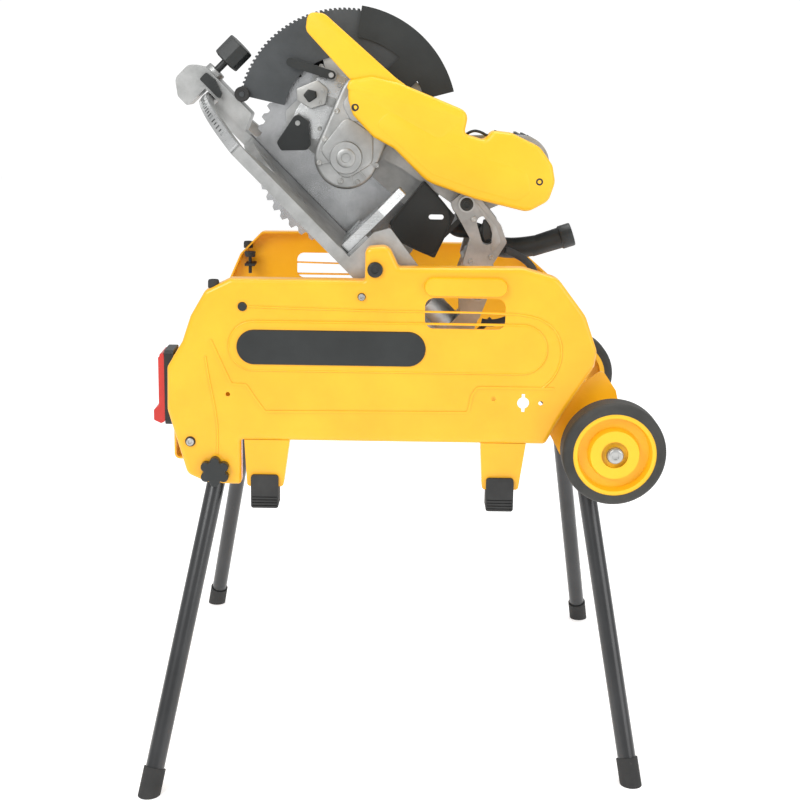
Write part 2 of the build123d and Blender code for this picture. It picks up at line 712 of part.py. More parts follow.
with BuildPart() as dust_duct:
    with BuildSketch(saw_side(EAR_NEAR + 4.2)):
        with BuildLine():
            FilletPolyline((-32, 135), (44, 131), (70, 60), (12, 38), (-22, 47), radius=4, close=True)
        make_face()
        with Locations((24, 108)):
            SlotOverall(24, 8, rotation=45, mode=Mode.SUBTRACT)
    extrude(amount=3.5)
    with BuildSketch(saw_side(40)):
        with BuildLine():
            FilletPolyline((50, 66), (58, 66), (58, 131), (50, 131), radius=2, close=True)
        make_face()
    extrude(amount=103)
    with BuildLine() as spout_path:
        FilletPolyline(*[saw_point(u, 4, w) for u, w in ((57, 115), (69, 115), (92, 138), (138, 145),
                                                         (174, 182), (206, 246))], radius=18)
    with BuildSketch(Plane(origin=spout_path.line @ 0, z_dir=spout_path.line % 0)):
        Circle(13)
    sweep()
    with BuildSketch(Plane(origin=spout_path.line @ 1, z_dir=spout_path.line % 1)):
        Circle(16)
    extrude(amount=-14)
    with BuildSketch(Plane(origin=spout_path.line @ 1, z_dir=spout_path.line % 1)):
        Circle(11)
    extrude(amount=-50, mode=Mode.SUBTRACT)
finish(dust_duct, "dust_duct")

CONDUIT = ((138.5, -76, 151.4), (176, -70, 170), (220, -57, 150), (236, -43, 100), (222, -32, 52), (203, -30, 40))


def tube_radii(points):
    """Largest even bends for a tube laid through the given points."""
    radii = []
    for before, corner, after in zip(points, points[1:], points[2:]):
        first = Vector(*corner) - Vector(*before)
        second = Vector(*after) - Vector(*corner)
        half_turn = radians(first.get_angle(second)) / 2
        radii.append(0.45 * min(first.length, second.length) / tan(half_turn))
    return radii


with BuildPart() as motor_conduit:
    with BuildLine() as conduit_path:
        FilletPolyline(*[saw_point(u, y, w) for u, y, w in CONDUIT], radius=tube_radii(CONDUIT))
    with BuildSketch(Plane(origin=conduit_path.line @ 0, z_dir=conduit_path.line % 0)):
        Circle(6)
    sweep()
finish(motor_conduit, "motor_conduit")

with BuildPart() as hinge_bolt:
    with BuildSketch(saw_side(EAR_FAR + 1)):
        with Locations(HINGE):
            Circle(BOLT_R)
    extrude(amount=EAR_FAR + 1 + 86.4)
    for start in (EAR_FAR + 6.2, -EAR_FAR - EAR_THICK - 0.2):
        with BuildSketch(saw_side(start)):
            with Locations(HINGE):
                Circle(13)
        extrude(amount=6)
finish(hinge_bolt, "hinge_bolt")

# ---- saw head: castings -----------------------------------------------------------------------------------
BEVEL_SPACERS = ((-178, 176), (-98, 138))
COVER_POSTS = ((30, 284), (88, 240))
with BuildPart() as head_arm:
    with BuildSketch(saw_side(ARM_FAR)):
        with Locations(MOTOR):
            Circle(MOTOR_R)
        with Locations(HINGE):
            Circle(24)
        with Locations(BLADE, DRIVE):
            Circle(HOUSING_R)
        with BuildLine():
            FilletPolyline((-130, 100), (-70, 122), (24, 140), (64, 150), (102, 248), (22, 292), (-60, 205),
                           (-170, 206), radius=4, close=True)
        make_face()
    extrude(amount=ARM_FAR - ARM_NEAR)
    with BuildSketch(saw_side(45)):
        with Locations(HINGE):
            Circle(HUB_RADIUS)
    extrude(amount=45 + 65)
    with BuildSketch(saw_side(-10)):
        with Locations(BLADE):
            Circle(24)
    extrude(amount=24)
    with BuildSketch(saw_side(-23.2)):
        with Locations(*BEVEL_SPACERS):
            Circle(11)
    extrude(amount=12)
    with BuildSketch(saw_side(ARM_NEAR)):
        with Locations(*COVER_POSTS):
            Circle(8)
    extrude(amount=ARM_NEAR - COVER_FAR - 0.2)
    with BuildSketch(saw_side(ARM_NEAR)):
        with Locations((-20, 190), (-90, 168)):
            SlotOverall(62, 34, rotation=30)
    extrude(amount=-9, mode=Mode.SUBTRACT)
    with BuildSketch(saw_side(0)):
        with Locations(HINGE):
            Circle(BOLT_R + FIT)
        with Locations(BLADE):
            Circle(SPINDLE_R + FIT)
    extrude(amount=200, both=True, mode=Mode.SUBTRACT)
finish(head_arm, "head_arm")

HOUSING_MIDDLE = ((BLADE[0] + DRIVE[0]) / 2, (BLADE[1] + DRIVE[1]) / 2)
HOUSING_REACH = hypot(DRIVE[0] - BLADE[0], DRIVE[1] - BLADE[1])
HOUSING_TURN = degrees(atan2(DRIVE[1] - BLADE[1], DRIVE[0] - BLADE[0]))
with BuildPart() as gear_housing:
    with BuildSketch(saw_side(ARM_NEAR - 0.2)):
        with Locations(HOUSING_MIDDLE):
            SlotCenterToCenter(HOUSING_REACH, 2 * HOUSING_R, rotation=HOUSING_TURN)
    extrude(amount=ARM_NEAR - 0.2 - HOUSING_NEAR)
    fillet(gear_housing.faces().sort_by(Axis.Y)[0].edges(), 6)
    with BuildSketch(saw_side(ARM_NEAR - 0.2)):
        with Locations(HOUSING_MIDDLE):
            SlotCenterToCenter(HOUSING_REACH, 2 * HOUSING_R - 8, rotation=HOUSING_TURN)
    extrude(amount=20, mode=Mode.SUBTRACT)
    with BuildSketch(saw_side(HOUSING_NEAR + 4)):
        with Locations(BLADE):
            Circle(27)
    extrude(amount=14, taper=10)
finish(gear_housing, "gear_housing")

with BuildPart() as motor_housing:
    with BuildSketch(saw_side(118)):
        with Locations(MOTOR):
            Circle(MOTOR_R - 3)
    extrude(amount=118 - ARM_FAR - 0.3)
    fillet(motor_housing.faces().sort_by(Axis.Y)[-1].edges(), 10)
    with BuildSketch(saw_side(96)):
        with Locations(MOTOR):
            with PolarLocations(MOTOR_R - 3, 24):
                Rectangle(6, 4)
    extrude(amount=110)
    with BuildSketch(saw_side(124)):
        with Locations(MOTOR):
            Circle(22)
    extrude(amount=8)
finish(motor_housing, "motor_housing")

COVER_EDGE = [(-227, 168, 8), (-226, 153, 6), (-205, 139, 10), (-184, 128, 10), (-138, 126, 10),
              (-103, 138, 12), (-31, 139, 16), (40, 174, 30), (114, 220, 14), (123, 256, 12), (110, 280, 10),
              (88, 297, 10), (52, 302, 12), (8, 285, 12), (-15, 268, 8), (-14, 244, 6), (-43, 229, 6),
              (-60, 261, 12), (-168, 213, 14)]
COVER_SCREWS = ((-189, 139), (-121, 161), (90, 264))
with BuildPart() as belt_cover:
    with BuildSketch(saw_side(COVER_FAR)):
        outline(COVER_EDGE)
    extrude(amount=COVER_FAR - COVER_NEAR)
    fillet(belt_cover.faces().sort_by(Axis.Y)[0].edges(), 5)
    with BuildSketch(saw_side(COVER_FAR - 3)):
        outline(COVER_EDGE)
        offset(amount=-3)
    extrude(amount=COVER_FAR - COVER_NEAR - 6, mode=Mode.SUBTRACT)
    with BuildSketch(saw_side(COVER_FAR)):
        with Locations((-178, 172), (58, 262)):
            Circle(20)
    extrude(amount=4, mode=Mode.SUBTRACT)
    with BuildSketch(saw_side(COVER_NEAR)):
        with Locations(*COVER_SCREWS):
            Circle(6)
    extrude(amount=-2, mode=Mode.SUBTRACT)
finish(belt_cover, "belt_cover")

with BuildPart() as handle:
    with BuildSketch(saw_side(-99)):
        outline([(-342, 186, 9), (-324, 165, 8), (-229.5, 167, 6), (-173, 211.6, 6), (-320, 203, 9)])
    extrude(amount=32)
    fillet(handle.faces().sort_by(Axis.Y)[0].edges(), 4)
    fillet(handle.faces().sort_by(Axis.Y)[-1].edges(), 4)
finish(handle, "handle")

# ---- blade and guards -------------------------------------------------------------------------------------
with BuildPart() as blade:
    with BuildSketch(saw_side(BLADE_THICK / 2)):
        with BuildLine():
            teeth = []
            for tooth in range(TEETH):
                angle = 360 / TEETH * tooth
                teeth += [polar(BLADE, BLADE_R, angle), polar(BLADE, BLADE_R - 8, angle + 1.6),
                          polar(BLADE, BLADE_R - 7, angle + 3.4), polar(BLADE, BLADE_R - 1.4, angle + 5)]
            Polyline(*teeth, close=True)
        make_face()
        with Locations(BLADE):
            Circle(SPINDLE_R + 0.02, mode=Mode.SUBTRACT)
    extrude(amount=BLADE_THICK)
finish(blade, "blade")

with BuildPart() as spindle:
    with BuildSketch(saw_side(8)):
        with Locations(BLADE):
            Circle(SPINDLE_R)
    extrude(amount=64)
    for start in (6, -BLADE_THICK / 2 - 0.02):
        with BuildSketch(saw_side(start)):
            with Locations(BLADE):
                Circle(25)
        extrude(amount=4.66)
    with BuildSketch(saw_side(16)):
        with Locations(BLADE):
            RegularPolygon(13, 6)
    extrude(amount=10.5)
finish(spindle, "spindle")

with BuildPart() as upper_guard:
    with BuildSketch(saw_side(23)):
        sector(BLADE, BLADE_R + 8.5, 5, 150)
        outline([(-144, 40, 10), (-236, 28, 12), (-264, 50, 10), (-262, 92, 10), (-279, 146, 4), (-144, 112, 1)])
    extrude(amount=46)
    with BuildSketch(saw_side(19)):
        with Locations(BLADE):
            Circle(BLADE_R + 5.5)
    extrude(amount=38, mode=Mode.SUBTRACT)
    with BuildSketch(saw_side(0)):
        with Locations(BLADE):
            Circle(31)
    extrude(amount=60, both=True, mode=Mode.SUBTRACT)
    with BuildSketch(saw_side(-22)):
        with Locations(LOCK_PIVOT, LEVER_PIVOT):
            Circle(9)
    extrude(amount=13.5)
    with BuildSketch(saw_side(-35)):
        with Locations(LOCK_PIVOT, LEVER_PIVOT):
            Circle(4)
    extrude(amount=11)
    with BuildSketch(saw_side(32)):
        with Locations(GUARD):
            Circle(GUARD_PIN_R)
    extrude(amount=12)
finish(upper_guard, "upper_guard")

with BuildPart() as guard_cover:
    for start, depth, inner in ((33, 66, COVER_R - 3), (33, 3, 130), (-30, 3, 130)):
        with BuildSketch(saw_side(start)):
            sector(GUARD, COVER_R, 60, 127)
            with Locations(GUARD):
                Circle(inner, mode=Mode.SUBTRACT)
        extrude(amount=depth)
    with BuildSketch(saw_side(-30)):
        outline([(-196, 188, 6), (-150, 188, 6), (-150, 246, 1), (-196, 246, 1)])
    extrude(amount=3.8)
finish(guard_cover, "guard_cover")

GUARD_FROM, GUARD_TO = 92, 213
with BuildPart() as movable_guard:
    with BuildSketch(saw_side(27)):
        sector(GUARD, GUARD_R, GUARD_FROM, GUARD_TO)
        with Locations(GUARD):
            Circle(GUARD_R - 3, mode=Mode.SUBTRACT)
        for step in range(int((GUARD_TO - GUARD_FROM) / 2.5)):
            angle = GUARD_FROM + 1.6 + 2.5 * step
            with Locations(polar(GUARD, GUARD_R + 1, angle)):
                Rectangle(4, 3.2, rotation=angle)
    extrude(amount=54)
    with BuildSketch(saw_side(-24.5)):
        sector(GUARD, GUARD_R - 1, GUARD_FROM, GUARD_TO)
        with Locations(GUARD):
            Circle(100, mode=Mode.SUBTRACT)
        with Locations(ROLLER):
            Circle(9)
    extrude(amount=2.5)
    with BuildSketch(saw_side(-25)):
        with Locations(ROLLER):
            Circle(4)
    extrude(amount=19.5)
    with BuildSketch(saw_side(27)):
        sector(GUARD, GUARD_R - 1, GUARD_FROM, GUARD_TO)
        with Locations(GUARD):
            Circle(22)
            Circle(GUARD_PIN_R + FIT, mode=Mode.SUBTRACT)
    extrude(amount=2.5)
finish(movable_guard, "movable_guard")

with BuildPart() as guard_roller:
    with BuildSketch(saw_side(-30)):
        with Locations(ROLLER):
            Circle(12)
    extrude(amount=13)
    fillet(guard_roller.edges(), 2)
    with BuildSketch(saw_side(-29)):
        with Locations(ROLLER):
            Circle(4 + FIT)
    extrude(amount=16, mode=Mode.SUBTRACT)
finish(guard_roller, "guard_roller")

with BuildPart() as lock_lever:
    with BuildSketch(saw_side(-36)):
        outline([(-249, 62, 9), (-238, 6, 6), (-224, 2, 5), (-196, 32, 6), (-197, 42, 5), (-226, 66, 8)])
        with Locations(LOCK_PIVOT):
            Circle(4 + FIT, mode=Mode.SUBTRACT)
    extrude(amount=8)
finish(lock_lever, "lock_lever")

with BuildPart() as guard_lever:
    with BuildSketch(saw_side(-36)):
        with Locations(((LEVER_PIVOT[0] - 311) / 2, (LEVER_PIVOT[1] + 111) / 2)):
            SlotCenterToCenter(67, 14, rotation=28.5)
        with Locations(LEVER_PIVOT):
            Circle(4 + FIT, mode=Mode.SUBTRACT)
    extrude(amount=6)
finish(guard_lever, "guard_lever")
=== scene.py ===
import json
from math import cos, pi, radians, sin

import bmesh
import bpy
from mathutils import Matrix, Vector


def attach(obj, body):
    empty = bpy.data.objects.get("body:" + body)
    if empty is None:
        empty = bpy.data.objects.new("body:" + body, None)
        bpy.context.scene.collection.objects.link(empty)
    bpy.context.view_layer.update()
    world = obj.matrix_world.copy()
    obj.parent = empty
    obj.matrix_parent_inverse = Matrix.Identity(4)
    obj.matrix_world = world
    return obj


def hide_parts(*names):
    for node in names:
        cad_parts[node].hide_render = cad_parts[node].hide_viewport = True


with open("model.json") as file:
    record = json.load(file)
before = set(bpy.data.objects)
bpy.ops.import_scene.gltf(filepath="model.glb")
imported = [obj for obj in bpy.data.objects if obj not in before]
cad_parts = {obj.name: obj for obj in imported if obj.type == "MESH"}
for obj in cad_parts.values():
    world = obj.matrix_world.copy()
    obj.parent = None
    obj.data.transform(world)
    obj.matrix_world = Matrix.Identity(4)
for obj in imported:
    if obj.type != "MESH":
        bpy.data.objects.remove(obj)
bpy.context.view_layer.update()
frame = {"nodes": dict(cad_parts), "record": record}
nodes = frame["nodes"]

# Turned table and head: u along the table, w square to it, y across; metres.
PIVOT = Vector((-0.047, 0.0, 0.774))
C = S = sin(radians(45))
SPINDLE = (-144, 72)       # blade centre, (u, w) in millimetres
COLUMN = (158, 74)         # centre of the bevel column, (u, w)
COLUMN_Y = -34.0           # its near face
RING_STEPS = 36
SCALE_U = -57              # turning centre of the mitre scale
SCALE_REACH = 0.3161       # from there to the scale's outer face, metres
WALL_FACE = 268            # outside of a side wall, millimetres from the middle
ALONG = Vector((C, 0, -S))
NORMAL = Vector((S, 0, C))
ACROSS = Vector((0, 1, 0))


def local(u, y, w):
    """Point of the turned saw, given in millimetres."""
    return PIVOT + ALONG * (u / 1000) + NORMAL * (w / 1000) + ACROSS * (y / 1000)


# ---- materials ------------------------------------------------------------------------------------
def noise(tree, scale, detail=4.0, rough=0.6, stretch=None):
    """Noise in object space; stretch is a scale for each axis, for brushed metal."""
    place = tree.nodes.new("ShaderNodeTexCoord")
    texture = tree.nodes.new("ShaderNodeTexNoise")
    texture.inputs["Scale"].default_value = scale
    texture.inputs["Detail"].default_value = detail
    texture.inputs["Roughness"].default_value = rough
    if stretch:
        mapping = tree.nodes.new("ShaderNodeMapping")
        mapping.inputs["Scale"].default_value = stretch
        mapping.inputs["Rotation"].default_value = (0, radians(45), 0)
        tree.links.new(place.outputs["Object"], mapping.inputs["Vector"])
        tree.links.new(mapping.outputs["Vector"], texture.inputs["Vector"])
    else:
        tree.links.new(place.outputs["Object"], texture.inputs["Vector"])
    return texture


def ramp(tree, source, low, high, start=0.3, end=0.7):
    made = tree.nodes.new("ShaderNodeValToRGB")
    made.color_ramp.elements[0].position = start
    made.color_ramp.elements[1].position = end
    made.color_ramp.elements[0].color = (*low, 1)
    made.color_ramp.elements[1].color = (*high, 1)
    tree.links.new(source, made.inputs["Fac"])
    return made


def finish_material(name, dark, light, rough, metallic=0.0, grain=900.0, grain_depth=0.1, patch=14.0,
                    stretch=None, coat=0.0, wear=None, rough_spread=0.08):
    """Principled surface with blotches of colour, uneven roughness, fine grain and, where a wear colour is
    given, scattered worn, dusty marks.
    """
    made = bpy.data.materials.new(name)
    made.use_nodes = True
    tree = made.node_tree
    shader = tree.nodes["Principled BSDF"]
    shader.inputs["Metallic"].default_value = metallic
    shader.inputs["Coat Weight"].default_value = coat
    shader.inputs["Coat Roughness"].default_value = 0.2
    patches = noise(tree, patch, 6.0)
    colour = ramp(tree, patches.outputs["Fac"], dark, light).outputs["Color"]
    if wear:
        marks = noise(tree, 60.0, 8.0, 0.75)
        mask = ramp(tree, marks.outputs["Fac"], (0, 0, 0), (1, 1, 1), 0.66, 0.74)
        blend = tree.nodes.new("ShaderNodeMix")
        blend.data_type = "RGBA"
        blend.inputs["B"].default_value = (*wear, 1)
        tree.links.new(mask.outputs["Color"], blend.inputs["Factor"])
        tree.links.new(colour, blend.inputs["A"])
        colour = blend.outputs["Result"]
    tree.links.new(colour, shader.inputs["Base Color"])
    uneven = noise(tree, patch * 3, 5.0)
    spread = tree.nodes.new("ShaderNodeMapRange")
    spread.inputs["To Min"].default_value = max(0.03, rough - rough_spread)
    spread.inputs["To Max"].default_value = rough + rough_spread
    tree.links.new(uneven.outputs["Fac"], spread.inputs["Value"])
    tree.links.new(spread.outputs["Result"], shader.inputs["Roughness"])
    fine = noise(tree, grain, 3.0, 0.6, stretch)
    bump = tree.nodes.new("ShaderNodeBump")
    bump.inputs["Strength"].default_value = grain_depth
    bump.inputs["Distance"].default_value = 0.0006
    tree.links.new(fine.outputs["Fac"], bump.inputs["Height"])
    tree.links.new(bump.outputs["Normal"], shader.inputs["Normal"])
    return made


YELLOW_DARK, YELLOW_LIGHT = (0.86, 0.40, 0.004), (0.92, 0.46, 0.008)
materials = {
    "base_yellow": finish_material("powder_coat_yellow", YELLOW_DARK, YELLOW_LIGHT, 0.34, grain=1300,
                                   grain_depth=0.16,
                                   coat=0.25, wear=(0.78, 0.38, 0.008)),
    "cover_yellow": finish_material("moulded_yellow", (0.84, 0.45, 0.008), (0.92, 0.52, 0.014), 0.40,
                                    grain=2200,
                                    grain_depth=0.22, patch=9),
    "frame_black": finish_material("painted_black", (0.012, 0.012, 0.013), (0.026, 0.026, 0.028), 0.38,
                                   grain=1400,
                                   grain_depth=0.18),
    "leg_black": finish_material("leg_enamel", (0.010, 0.011, 0.012), (0.022, 0.023, 0.025), 0.30,
                                 grain=700,
                                 grain_depth=0.10, coat=0.3, wear=(0.035, 0.035, 0.037)),
    "cast_silver": finish_material("die_cast_aluminium", (0.30, 0.305, 0.30), (0.50, 0.505, 0.50), 0.42,
                                   0.85, 750, 0.55,
                                   patch=22, wear=(0.20, 0.20, 0.19)),
    "machined_silver": finish_material("machined_aluminium", (0.52, 0.53, 0.53), (0.72, 0.73, 0.73), 0.27,
                                       0.95, 260,
                                       0.30, stretch=(0.08, 3.0, 3.0), patch=18),
    "black_plastic": finish_material("moulded_black", (0.008, 0.010, 0.010), (0.018, 0.021, 0.021), 0.40,
                                     grain=1900,
                                     grain_depth=0.30),
    "black_rubber": finish_material("black_rubber", (0.012, 0.012, 0.012), (0.034, 0.034, 0.033), 0.72,
                                    grain=1100,
                                    grain_depth=0.35, wear=(0.07, 0.068, 0.064)),
    "tyre_rubber": finish_material("tyre_rubber", (0.018, 0.018, 0.016), (0.046, 0.045, 0.040), 0.66,
                                   grain=900,
                                   grain_depth=0.40, wear=(0.09, 0.085, 0.075)),
    "red_plastic": finish_material("moulded_red", (0.50, 0.018, 0.010), (0.64, 0.030, 0.018), 0.32,
                                   grain=1800,
                                   grain_depth=0.12, coat=0.2),
    "green_plastic": finish_material("moulded_green", (0.01, 0.20, 0.04), (0.02, 0.32, 0.07), 0.35,
                                     grain=1800,
                                     grain_depth=0.12),
    "guard_grey": finish_material("guard_grey", (0.040, 0.045, 0.048), (0.082, 0.088, 0.092), 0.38, 0.35,
                                  1000, 0.30,
                                  patch=10, wear=(0.13, 0.135, 0.14)),
    "zinc_steel": finish_material("zinc_plate", (0.34, 0.34, 0.33), (0.58, 0.58, 0.56), 0.33, 0.95, 900,
                                  0.25),
    "blade_steel": finish_material("ground_steel", (0.42, 0.43, 0.44), (0.66, 0.67, 0.68), 0.24, 0.98, 300,
                                   0.30,
                                   stretch=(3.0, 1.0, 0.1)),
}
for entry in frame["record"]["subparts"]:
    piece = nodes[entry["node"]]
    if not piece.material_slots:
        piece.data.materials.append(materials[entry["material_slot"]])
    for held in piece.material_slots:
        held.material = materials[entry["material_slot"]]


# ---- pieces ---------------------------------------------------------------------------------------
def settle(name, mesh, slot_name, body, bevel=0.0):
    """Make a mesh into a piece of the saw that rides on a body."""
    piece = bpy.data.objects.new(name, mesh)
    bpy.context.scene.collection.objects.link(piece)
    mesh.materials.append(materials[slot_name])
    if bevel:
        rounded = piece.modifiers.new("edges", "BEVEL")
        rounded.width = bevel / 1000
        rounded.segments = 3
        rounded.limit_method = "ANGLE"
    for face in mesh.polygons:
        face.use_smooth = bevel > 0
    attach(piece, body)
    return piece


def add_prism(build, points, direction):
    """Add a closed prism to a bmesh: an outline of points pushed along a direction."""
    low = [build.verts.new(point) for point in points]
    high = [build.verts.new(Vector(point) + Vector(direction)) for point in points]
    build.faces.new(low)
    build.faces.new(high[::-1])
    for here in range(len(low)):
        after = (here + 1) % len(low)
        build.faces.new((low[after], low[here], high[here], high[after]))


def close_mesh(name, build):
    """Turn the faces of a bmesh outwards and make it a mesh."""
    bmesh.ops.recalc_face_normals(build, faces=build.faces)
    mesh = bpy.data.meshes.new(name)
    build.to_mesh(mesh)
    build.free()
    return mesh


def prisms(name, outlines, direction, slot_name, body, bevel=0.4):
    """One piece made of prisms that are all pushed along the same direction."""
    build = bmesh.new()
    for points in outlines:
        add_prism(build, points, direction)
    return settle(name, close_mesh(name, build), slot_name, body, bevel)


def ring(centre, radius, axis, count):
    """Points of a circle; the radius is in millimetres."""
    axis = Vector(axis).normalized()
    side = axis.orthogonal().normalized()
    other = axis.cross(side)
    turns = [2 * pi * step / count for step in range(count)]
    return [Vector(centre) + (side * cos(turn) + other * sin(turn)) * radius / 1000 for turn in turns]


SCREW_SIDES, TURNED_SIDES = 24, 40


def socket_screws(name, spots, radius, height, axis, slot_name, body):
    """Cap screws: a round head with a round socket sunk into it."""
    build = bmesh.new()
    axis = Vector(axis).normalized()
    for spot in spots:
        levels = [(radius, 0.0), (radius, height * 0.75), (radius * 0.86, height), (radius * 0.5, height),
                  (radius * 0.46, height * 0.35)]
        rings = [[build.verts.new(point + axis * level / 1000) for point in ring(spot, size, axis,
                                                                                 SCREW_SIDES)]
                 for size, level in levels]
        for lower, upper in zip(rings, rings[1:]):
            for here in range(SCREW_SIDES):
                after = (here + 1) % SCREW_SIDES
                build.faces.new((lower[here], lower[after], upper[after], upper[here]))
        build.faces.new(rings[-1])
        build.faces.new(rings[0][::-1])
    return settle(name, close_mesh(name, build), slot_name, body, 0.2)


def tube(name, points, radius, slot_name, body):
    """Smooth round wire through a few points."""
    data = bpy.data.curves.new(name, "CURVE")
    data.dimensions = "3D"
    data.bevel_depth = radius / 1000
    data.bevel_resolution = 6
    line = data.splines.new("NURBS")
    line.points.add(len(points) - 1)
    for held, point in zip(line.points, points):
        held.co = (*point, 1)
    line.order_u = 3
    line.use_endpoint_u = True
    data.use_fill_caps = True
    piece = bpy.data.objects.new(name, data)
    bpy.context.scene.collection.objects.link(piece)
    data.materials.append(materials[slot_name])
    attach(piece, body)
    return piece


NEAR = Vector((0, -1, 0))


def rounded(corners, steps=6):
    """Closed outline with an arc at each corner; corners are (u, w, radius) in millimetres."""
    made = []
    count = len(corners)
    for here in range(count):
        u, w, radius = corners[here]
        corner = Vector((u, w))
        before = Vector(corners[here - 1][:2]) - corner
        after = Vector(corners[(here + 1) % count][:2]) - corner
        half_turn = before.angle(after) / 2
        slope = max(0.05, abs(cos(half_turn) / sin(half_turn)) ** -1)
        reach = min(radius / slope, before.length * 0.48, after.length * 0.48)
        first = corner + before.normalized() * reach
        last = corner + after.normalized() * reach
        for step in range(steps + 1):
            share = step / steps
            made.append(first.lerp(corner, share).lerp(corner.lerp(last, share), share))
    return made


def plates(name, corner_lists, y_near, y_far, slot_name, body, bevel=0.5, steps=6):
    """Plates lying across the saw head between two distances y, with rounded outlines and edges."""
    outlines = [[local(point[0], y_far, point[1]) for point in rounded(corners,
                                                                       steps)] for corners in corner_lists]
    return prisms(name, outlines, NEAR * (y_far - y_near) / 1000, slot_name, body, bevel)


def turned(name, spot, axis, levels, slot_name, body):
    """Solid of revolution: levels are (radius, height) in millimetres from a spot along an axis."""
    build = bmesh.new()
    axis = Vector(axis).normalized()
    rings = [[build.verts.new(point + axis * height / 1000) for point in ring(spot, radius, axis,
                                                                              TURNED_SIDES)]
             for radius, height in levels]
    for lower, upper in zip(rings, rings[1:]):
        for step in range(TURNED_SIDES):
            build.faces.new((lower[step], lower[step - 1], upper[step - 1], upper[step]))
    build.faces.new(rings[0])
    build.faces.new(rings[-1])
    return settle(name, close_mesh(name, build), slot_name, body, 0.4)


def bead(name, points, radius, y):
    """Pressed bead: a half-sunk round line along a wall."""
    return tube(name, [Vector((x / 1000, y / 1000, z / 1000)) for x, z in points], radius, "base_yellow",
                "base")


def spokes(centre, turns, inner, outer, half_width, y):
    """Outlines of narrow ribs that radiate from a centre (u, w) in the plane at y."""
    made = []
    for turn in turns:
        out = Vector((cos(radians(turn)), sin(radians(turn))))
        side = Vector((-out.y, out.x)) * half_width
        middle = Vector(centre)
        ends = (middle + out * inner - side, middle + out * inner + side,
                middle + out * outer + side, middle + out * outer - side)
        made.append([local(end.x, y, end.y) for end in ends])
    return made


# belt cover and handle: soft moulded shells
COVER_LINE = [(-226, 160, 12), (-205, 139, 22), (-184, 128, 22), (-138, 127, 26), (-103, 138, 40), (-31,
                                                                                                    139,
                                                                                                    60),
              (40, 174, 60), (112, 219, 26), (122, 254, 22), (108, 281, 22), (86, 296, 20), (52, 301, 30),
              (8, 285, 22), (-16, 266, 12), (-15, 246, 9), (-44, 231, 9), (-62, 259, 18), (-168, 213, 24),
              (-205, 190, 20)]
shell = plates("cover_shell", [COVER_LINE], -139.6, -86.6, "cover_yellow", "head", 8.5, 5)
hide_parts("belt_cover")
PANEL_LINE = [(-150, 142, 12), (-112, 146, 20), (-35, 152, 40), (30, 184, 40), (88, 218, 14), (92, 244, 14),
              (66, 262, 20),
              (20, 236, 30), (-60, 199, 30), (-150, 172, 16)]
plates("cover_panel", [PANEL_LINE], -140.0, -137.0, "cover_yellow", "head", 1.8, 6)
plates("cover_tongue", [[(-226, 162, 8), (-218, 148, 8), (-60, 196, 18), (-58, 252, 8), (-168, 210, 18)]],
       -139.9, -120.0,
       "cover_yellow", "head", 6.0, 6)
bar = plates("handle_bar", [[(-341, 187, 14), (-324, 165, 14), (-224, 162, 20), (-160, 196, 20), (-150, 219,
                                                                                                  12),
                             (-178, 214, 24), (-322, 203, 16)]], -131.0, -99.0, "cover_yellow", "head",
                             10.5, 8)
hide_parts("handle")
socket_screws("cover_screws", [local(u, -139.0, w) for u, w in ((-189, 139), (-121, 161), (90, 264))], 6.0,
              0.7, NEAR,
              "black_plastic", "head")

# gear housing: ribs, bolts and a bearing cap over the smooth casting
plates("housing_pad", [[(-182, 50, 16), (-120, 44, 20), (-108, 96, 20), (-140, 128, 16), (-190, 118, 16)]],
       -88.5, -84.0,
       "cast_silver", "head", 1.6)
plates("housing_step", [[(-208, 126, 14), (-176, 116, 14), (-150, 158, 16), (-184, 184, 18), (-214, 164,
                                                                                              14)]],
       -89.0, -84.0, "cast_silver", "head", 1.6)
socket_screws("housing_screws", [local(u, -86.2, w) for u, w in ((-188, 68), (-104, 58), (-102, 98), (-206,
                                                                                                      112),
                                                                 (-124, 40), (-168, 36))], 4.4, 3.0, NEAR,
              "zinc_steel", "head")
socket_screws("spindle_cap", [local(SPINDLE[0], -94.0, SPINDLE[1])], 15.0, 4.5, NEAR, "cast_silver", "head")
ribs = spokes(SPINDLE, range(-60, 241, 30), 27, 43, 1.2, -85.6)
prisms("housing_ribs", ribs, NEAR * 0.0026, "cast_silver", "head", 0.3)

# upper guard: machined face, pressed rim line and rivets
plates("guard_face", [[(-252, 60, 14), (-238, 34, 12), (-196, 52, 20), (-170, 122, 22), (-192, 180, 26),
                       (-246, 150, 10), (-268, 140, 8)]], -24.2, -23.0, "machined_silver", "head", 0.4)
plates("guard_rib", [[(-262, 96, 6), (-258, 90, 4), (-214, 108, 14), (-196, 140, 14), (-204, 148, 6), (-222,
                                                                                                       122,
                                                                                                       12)]],
       -26.2, -24.0, "cast_silver", "head", 0.9)
socket_screws("guard_rivets", [local(u, -24.4, w) for u, w in ((-244, 60), (-206, 70), (-200, 165), (-232,
                                                                                                     140))],
                                                                                                     3.6,
              1.8, NEAR, "zinc_steel", "head")

# latch plate with its knob, in front of the blade guard
plates("latch_plate", [[(-276, 88, 6), (-262, 76, 5), (-238, 82, 5), (-226, 104, 6), (-240, 124, 5), (-262,
                                                                                                      122,
                                                                                                      6)]],
       -34.0, -30.5, "zinc_steel", "head", 1.0)
plates("latch_knob", [[(-261, 89, 3), (-246, 87, 3), (-243, 102, 3), (-251, 108, 3), (-262, 101, 3)]],
       -47.0, -34.2,
       "black_plastic", "head", 2.0)
socket_screws("latch_rivets", [local(u, -34.2, w) for u, w in ((-234, 100), (-244, 116))], 2.6, 1.4, NEAR,
              "zinc_steel",
              "head")

